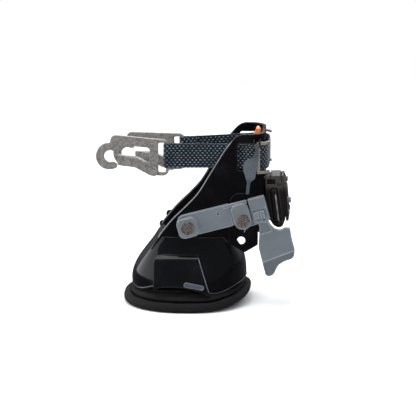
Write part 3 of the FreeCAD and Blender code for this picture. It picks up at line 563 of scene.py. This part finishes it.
# %% [markdown]
# ## The strap
# One length of webbing runs round the closed back. Each half is a soft-edged band carried along a
# plan path: from the middle of the back, in through the window, along the inner wall, then round
# the hook's bar and back on itself, where it is sewn.

# %% Strap surfaces
def band_grid(path, lengths, half_thick, half_wide, columns=36):
    """Section (thickness, height) = squared oval; the section's thickness lies along the path's normal."""
    way = np.gradient(path, axis=0)
    way /= np.linalg.norm(way, axis=1)[:, None]
    across = np.stack([-way[:, 1], way[:, 0]], 1)
    turn = np.linspace(0, 2 * np.pi, columns, endpoint=False)
    c, s = np.cos(turn), np.sin(turn)
    thick = half_thick * np.sign(c) * np.abs(c) ** 0.45
    high = half_wide * np.sign(s) * np.abs(s) ** 0.30
    xy = path[:, None, :] + across[:, None, :] * thick[None, :, None]
    z = np.broadcast_to(WEB_MID + high, xy.shape[:2])
    uv = np.stack([np.broadcast_to(lengths[:, None], z.shape), np.broadcast_to(high + WEB_HALF, z.shape)], -1)
    return np.dstack([xy, z]), uv


FAR_SLOPE = math.radians(3.8)
SLOPE_START, SLOPE_TURN = 58.0, 56.0    # X where the slope starts and X it turns about
WALL_Y = 26.0                           # the strap runs, from the middle plane


def far_slope(grid):
    """The far run turns down about a point at the window, wholly so 6 mm past where it starts."""
    amount = np.clip((SLOPE_START - grid[..., 0]) / 6.0, 0, 1) * FAR_SLOPE
    dx, dz = grid[..., 0] - SLOPE_TURN, grid[..., 2] - WEB_MID
    inside = (grid[..., 0] < SLOPE_START)
    x = np.where(inside, SLOPE_TURN + dx * np.cos(amount) - dz * np.sin(amount), grid[..., 0])
    z = np.where(inside, WEB_MID + dx * np.sin(amount) + dz * np.cos(amount), grid[..., 2])
    return np.stack([x, grid[..., 1], z], -1)


def half_path(side, bar):
    """Plan points of half the strap; side is -1 near and 1 far, bar is the hook bar's X."""
    run = [(83.6, 0.0), (83.6, 8.0), (83.4, 17.0), (81.8, 25.0), (77.2, 30.6), (71.0, 32.4), (65.0, 30.4),
           (58.0, 27.6), (48.0, 26.3), (34.0, 26.1), (20.0, 26.0), (8.0, 26.6), (bar + 16, 27.15)]
    eye = [(bar + 10 - 10.0 * k, 27.2 + 1.0 * k) for k in (0.0, 0.5)]
    ring = [(bar - 3.35 * math.sin(a), WALL_Y + 3.35 * math.cos(a))
            for a in np.linspace(0.25, math.pi - 0.25, 9)]
    back = [(bar + 5.0, 23.8), (bar + 9.5, 24.75), (bar + 14.6, 24.9)]
    return [(x, side * y) for x, y in run + eye + ring + back]


for label, side, bar in STRAP_ENDS:
    path, lengths = smooth_path(half_path(side, bar), 420)
    grid, uv = band_grid(path, lengths, 0.92, WEB_HALF - 0.1)
    grid = far_slope(grid) if side > 0 else grid
    piece = outward(tube_piece("strap_" + label, to_frame(grid), uv))
    piece.data.materials.append(webbing)
    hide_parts("strap_end_" + label, *(["strap_saddle"] if side < 0 else []))
    ends = np.array([(27.0, side * WALL_Y, WEB_MID), (13.0, side * WALL_Y, WEB_MID)])
    start, end = to_frame(far_slope(ends) if side > 0 else ends)
    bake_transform(piece)
    print("strap", label, "length in mm:", round(lengths[-1]))

# %% [markdown]
# Each sewn end is held by rows of short thread stitches. A stitch is a tiny bead a few faces
# round; the rows are laid out as arrays and joined into one piece per strap end.

# %% Stitches
def stitch_rows(name, places, body):
    """Beads with half sizes (1.05, 0.30, 0.30) mm at every place, turned to lie in the strap's face."""
    around = np.linspace(0, 2 * np.pi, 6, endpoint=False)
    lat, lon = np.meshgrid(np.linspace(0, np.pi, 5), around, indexing="ij")
    bead = np.stack([1.05 * np.cos(lat), 0.30 * np.sin(lat) * np.cos(lon),
                     0.30 * np.sin(lat) * np.sin(lon)], -1)
    spots = np.array([p[:3] for p in places])
    spots = far_slope(spots) if spots[0, 1] > 0 else spots
    lean = np.array([p[3] for p in places])
    c, s = np.cos(lean)[:, None, None], np.sin(lean)[:, None, None]
    x = bead[None, ..., 0] * c - bead[None, ..., 2] * s
    z = bead[None, ..., 0] * s + bead[None, ..., 2] * c
    points = np.stack([x, np.broadcast_to(bead[None, ..., 1], x.shape), z], -1) + spots[:, None, None, :]
    face = grid_faces(5, 6)
    faces = (face[None] + (np.arange(len(spots)) * 30)[:, None, None]).reshape(-1, 4)
    piece = outward(mesh_piece(name, to_frame(points).reshape(-1, 3), faces))
    piece.data.materials.append(thread.material)
    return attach(piece, body)


for label, side, bar in STRAP_ENDS:
    places = []
    for face_y in (28.15, 23.85):
        for x in (bar + 8.0, bar + 13.4):
            places += [(x, side * face_y, WEB_MID + h, math.pi / 2) for h in np.arange(-10.8, 11.0, 2.7)]
    stitch_rows("stitches_" + label, places, label + "_strap")
print("stitches done")

# %% [markdown]
# ## Beads along the moulded edges
# The shell's open edge, its rim, the waved lip of the dome and the corners of the flank blocks all
# end in a slim rounded bead. The crest of a bead is painted as a pale line, a painted highlight, and
# those long lines are what makes the sweep of a black shell readable. Each bead is a round tube
# carried along a space curve. Its UV map holds the angle round the tube, so the painted highlight
# can follow the crest.

# %% Bead finish
def highlighted_bead(name, crest, width, highlight_colour):
    """Black with a painted highlight on the crest: the mask is 1 where the angle from the crest is under the
    width.
    """
    finish = Finish(name, Specular_IOR_Level=0.5, Coat_Weight=0.3, Coat_Roughness=0.08)
    along, round_it, _ = finish.split(finish.place("UV"))
    off_crest = (round_it.size() - crest).size()
    cloud = finish.noise(55.0, 4.0, 0.6)
    # Painted highlight: a pale line along the bead's crest.
    line = (1 - off_crest.between(width * 0.35, width)) * (0.35 + cloud * 1.1).low(1.0)
    _, y, _ = finish.split(finish.place())
    # The painted highlight fades on the far side, where y is above zero.
    line = line * (1 - y.between(0.0, 0.012) * 0.7)
    colour = finish.blend(line, (0.006, 0.006, 0.0075), highlight_colour)
    return finish.feed(Base_Color=colour, Roughness=0.22 + cloud * 0.12,
                       Normal=finish.bump(finish.noise(300.0), 0.00008, 0.5))


edge_bead = highlighted_bead("edge_bead_highlight", math.radians(52), math.radians(20), (0.24, 0.24, 0.27))
lip_bead = highlighted_bead("lip_bead_highlight", 0.0, math.radians(62), (0.085, 0.085, 0.100))
print("bead finishes:", edge_bead.name, lip_bead.name)

# %% Bead surface
def bead_piece(name, points, radius, finish, outwards, count=320, columns=16, closed=False):
    """Tube = path + r (cos t first + sin t second); first leans to the outward hint, both across the path."""
    path, _ = smooth_path(points, count)
    if closed:
        path = path[:-1]
        way = np.roll(path, -1, 0) - np.roll(path, 1, 0)
    else:
        way = np.gradient(path, axis=0)
    way /= np.linalg.norm(way, axis=1)[:, None]
    hint = outwards(path)
    first = hint - way * np.sum(hint * way, 1)[:, None]
    first /= np.linalg.norm(first, axis=1)[:, None]
    second = np.cross(way, first)
    turn = np.linspace(-np.pi, np.pi, columns, endpoint=False)
    ring = first[:, None, :] * np.cos(turn)[None, :, None] + second[:, None, :] * np.sin(turn)[None, :, None]
    grid = path[:, None, :] + ring * radius
    uv = np.stack(np.broadcast_arrays(np.arange(len(path))[:, None] * 0.01, turn[None, :]), -1)
    if closed:
        faces = grid_faces(len(path), columns, wrap_rows=True)
        piece = mesh_piece(name, to_frame(grid).reshape(-1, 3), faces, uv)
    else:
        piece = tube_piece(name, to_frame(grid), uv)
    outward(piece)
    piece.data.materials.append(finish)
    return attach(piece, "shell")


print("bead surface ready")

# %% [markdown]
# One bead follows the whole open edge of the upright shell: up the near front edge, round the rim
# and down the far front edge. The wall tapers in towards the rim, so the half width depends on z.

# %% Edge and rim bead
def shell_half_width(z):
    """Half width of the upright shell at a height: a straight taper."""
    return 33.2 - 2.2 * (z - 56.0) / 122.5


FRONT = [(-28.0, 69.6), (-24, 76), (-12.5, 90), (1.5, 104), (13, 117), (24, 135), (33, 150), (39.5, 160.5),
         (45.6, 168.6), (51.5, 174.0), (58.0, 176.6)]
near_edge = [(x + 0.4, -(shell_half_width(z) - 1.5), z) for x, z in FRONT]
RIM_Z, RIM_HALF, RIM_BACK, RIM_TURN = 177.0, 29.5, 78.5, 14.5
corner = [(RIM_BACK - RIM_TURN * (1 - math.sin(a)), -(RIM_HALF - RIM_TURN * (1 - math.cos(a))), RIM_Z)
          for a in np.linspace(0, math.pi / 2, 7)]
half_rim = corner + [(RIM_BACK, -7.0, RIM_Z), (RIM_BACK, 0.0, RIM_Z)]
whole_edge = near_edge + half_rim + [(x, -y, z) for x, y, z in (near_edge + half_rim[:-1])[::-1]]


def away_from_shell(p):
    """Forward and up along the front edges, straight up on the rim."""
    return np.stack([np.where(p[:, 2] < 174, -1.0, 0.0), np.zeros(len(p)), np.full(len(p), 0.6)], 1)


bead_piece("edge_bead", whole_edge, 1.5, edge_bead, away_from_shell, count=760)
print("edge bead follows", len(whole_edge), "points")

# %% [markdown]
# The dome's lower lip is a wave. The outline of the dome at a height comes from the same sections
# as the moulding: squared ovals, squarer on the near side towards the top.

# %% Lip bead
# Height, middle X, half length, half width, power of the far side, power of the near side.
LEVEL = np.array([
    (11, 1.0, 54.0, 53.0, 2.3, 2.3), (18, 1.2, 57.6, 55.8, 2.3, 2.3), (26, 1.8, 58.6, 56.4, 2.3, 2.4),
    (36, 3.0, 57.0, 54.0, 2.35, 2.6), (46, 5.0, 53.0, 49.2, 2.5, 3.1), (56, 6.0, 46.4, 43.0, 2.8, 4.2),
    (65, 6.8, 40.2, 37.4, 3.2, 5.6), (71.5, 7.0, 35.6, 35.2, 3.6, 6.5)])
# X and height of the lip.
WAVE = np.array([
    (-70, 21), (-56, 17.5), (-46, 17.5), (-34, 22), (-20, 24.6), (-6, 24.6),
    (8, 22.4), (20, 18.4), (30, 16), (40, 17.6), (52, 22.5), (70, 27)])


def dome_outline(turn, z, out=0.0):
    """Point of the dome at an angle and height: squared oval between the two nearest sections."""
    mid, half_x, half_y, far, near = (np.interp(z, LEVEL[:, 0], LEVEL[:, k]) for k in range(1, 6))
    c, s = np.cos(turn), np.sin(turn)
    power = np.where(s < 0, near, far)
    x = mid + (half_x + out) * np.sign(c) * np.abs(c) ** (2 / power)
    return x, (half_y + out) * np.sign(s) * np.abs(s) ** (2 / power)


wave_line, _ = smooth_path(WAVE, 200)
turn = np.linspace(0, 2 * np.pi, 181)
lip_z = np.full(181, 20.0)
for _ in range(6):
    lip_x, lip_y = dome_outline(turn, lip_z)
    lip_z = np.interp(lip_x, wave_line[:, 0], wave_line[:, 1])
lip_x, lip_y = dome_outline(turn, lip_z, -0.7)
bead_piece("lip_bead", np.stack([lip_x, lip_y, lip_z + 0.9], 1), 1.35, lip_bead,
           lambda p: np.stack([p[:, 0] / 58, p[:, 1] / 56, np.full(len(p), 0.35)], 1), count=421, closed=True)
print("lip bead from", round(float(lip_z.min()), 1), "to", round(float(lip_z.max()), 1), "mm")

# %% [markdown]
# Each flank block has a crisp front corner on its sloping side. A thinner bead follows it up to the
# shoulder.

# %% Block beads
def block_face(z):
    """Front face of the block in Y: straight to z = 44.5, then rounding back over the shoulder."""
    return -np.interp(z, [20, 24, 44.5, 48.5, 51.8, 54.2, 55.5], [59.6, 59.5, 53.4, 51.8, 49.6, 46.0, 42.0])


for label, side in (("near", 1), ("far", -1)):
    height = np.array([19.5, 26.0, 33.0, 40.0, 44.5, 48.5, 51.8])
    line = np.stack([28.6 - (height - 10) * 0.3375 - 0.45, side * (block_face(height) + 0.45), height], 1)
    bead_piece("block_bead_" + label, line, 0.85, edge_bead,
               lambda p, s=side: np.stack([np.ones(len(p)), -s * np.ones(len(p)) * 0.6, np.zeros(len(p))], 1),
               count=60, columns=12)
print("block beads done")

# %% [markdown]
# ## Floor, light and camera
# The unit stands on a plain pale floor. A broad overhead light gives soft shadows, and a fill at the
# front opens them. A wide panel at the left and a strip overhead are what the black gloss mirrors:
# they draw the sheen on the dome's left flank and on the shoulders. The surroundings are pale to the
# eye and dim to reflections, and so is the floor, so the gloss stays black.

# %% Floor
RINGS, SPOKES = 24, 96


def round_floor(radius):
    """Flat disc: (r cos t, r sin t, 0) for r from nearly 0 to the radius."""
    turn = np.linspace(0, 2 * np.pi, SPOKES, endpoint=False)
    reach_out = np.linspace(0.001, 1.0, RINGS)[:, None]
    x, y = radius * reach_out * np.cos(turn), radius * reach_out * np.sin(turn)
    return np.stack([x, y, np.zeros_like(x)], -1)


faces = [list(f) for f in grid_faces(RINGS, SPOKES)]
floor = mesh_piece("floor", round_floor(1.1), faces + [list(range(SPOKES))[::-1]])
pale = Finish("pale_floor", Roughness=0.9, Specular_IOR_Level=0.05)
pale.feed(Base_Color=pale.blend(pale.noise(3.0), (0.88, 0.88, 0.88), (0.91, 0.91, 0.91)))
reflected = pale.add("ShaderNodeLightPath", out="Is Glossy Ray")
flag = pale.add("ShaderNodeBsdfDiffuse", None, {"Color": (0.045, 0.045, 0.048, 1.0)})
chosen = pale.nodes.new("ShaderNodeMixShader")
pale.links.new(reflected.socket, chosen.inputs[0])
pale.links.new(pale.shader.outputs[0], chosen.inputs[1])
pale.links.new(flag.socket, chosen.inputs[2])
pale.links.new(chosen.outputs[0], pale.nodes["Material Output"].inputs[0])
floor.data.materials.append(pale.material)

# %% Lights
def soft_light(name, place, target, width, height, power, mirrored=True):
    """An area light at a place, aimed at a target; gloss shows it only if it is mirrored."""
    data = bpy.data.lights.new(name, "AREA")
    data.shape = "RECTANGLE"
    data.size, data.size_y = width, height
    data.energy = power
    light = bpy.data.objects.new(name, data)
    light.location = place
    light.visible_glossy = mirrored
    light.rotation_euler = (Vector(target) - Vector(place)).to_track_quat("-Z", "Y").to_euler()
    bpy.context.scene.collection.objects.link(light)
    return light


aim = (0.0, 0.0, 0.09)
soft_light("overhead", (0.05, -0.15, 1.30), aim, 1.5, 1.0, 17, False)
soft_light("overhead_strip", (-0.15, 0.08, 1.10), aim, 1.0, 0.40, 5.5)
soft_light("left_panel", (-1.10, 0.10, 0.46), aim, 2.1, 0.95, 13)
soft_light("front_fill", (0.35, -1.55, 0.70), aim, 1.0, 0.8, 9, False)
soft_light("back_rim", (0.30, 1.10, 0.75), aim, 1.2, 0.4, 8)

world = bpy.data.worlds.new("studio")
bpy.context.scene.world = world
world.use_nodes = True
sky = world.node_tree
pale_sky = sky.nodes["Background"]
pale_sky.inputs["Color"].default_value = (1.0, 1.0, 1.0, 1.0)
pale_sky.inputs["Strength"].default_value = 1.0
dim_sky = sky.nodes.new("ShaderNodeBackground")
dim_sky.inputs["Color"].default_value = (0.86, 0.92, 1.0, 1.0)
dim_sky.inputs["Strength"].default_value = 0.22
seen = sky.nodes.new("ShaderNodeLightPath")
choose = sky.nodes.new("ShaderNodeMixShader")
sky.links.new(seen.outputs["Is Camera Ray"], choose.inputs[0])
sky.links.new(dim_sky.outputs[0], choose.inputs[1])
sky.links.new(pale_sky.outputs[0], choose.inputs[2])
sky.links.new(choose.outputs[0], sky.nodes["World Output"].inputs[0])
bpy.context.scene.view_settings.view_transform = "Standard"

# %% Camera
azimuth, elevation, reach = math.radians(3.0), math.radians(13.0), 5.0
back = Vector((math.sin(azimuth) * math.cos(elevation), -math.cos(azimuth) * math.cos(elevation),
               math.sin(elevation)))
target = Vector(to_frame((20.94, 0.0, 94.4)))
lens = bpy.data.cameras.new("camera")
lens.lens = 36.0 * reach / 0.4264
lens.sensor_width = 36.0
camera = bpy.data.objects.new("camera", lens)
camera.location = target + back * reach
camera.rotation_euler = (-back).to_track_quat("-Z", "Y").to_euler()
lens.clip_start, lens.clip_end = 0.05, 30.0
bpy.context.scene.collection.objects.link(camera)
bpy.context.scene.camera = camera
print("camera at", [round(v, 3) for v in camera.location])
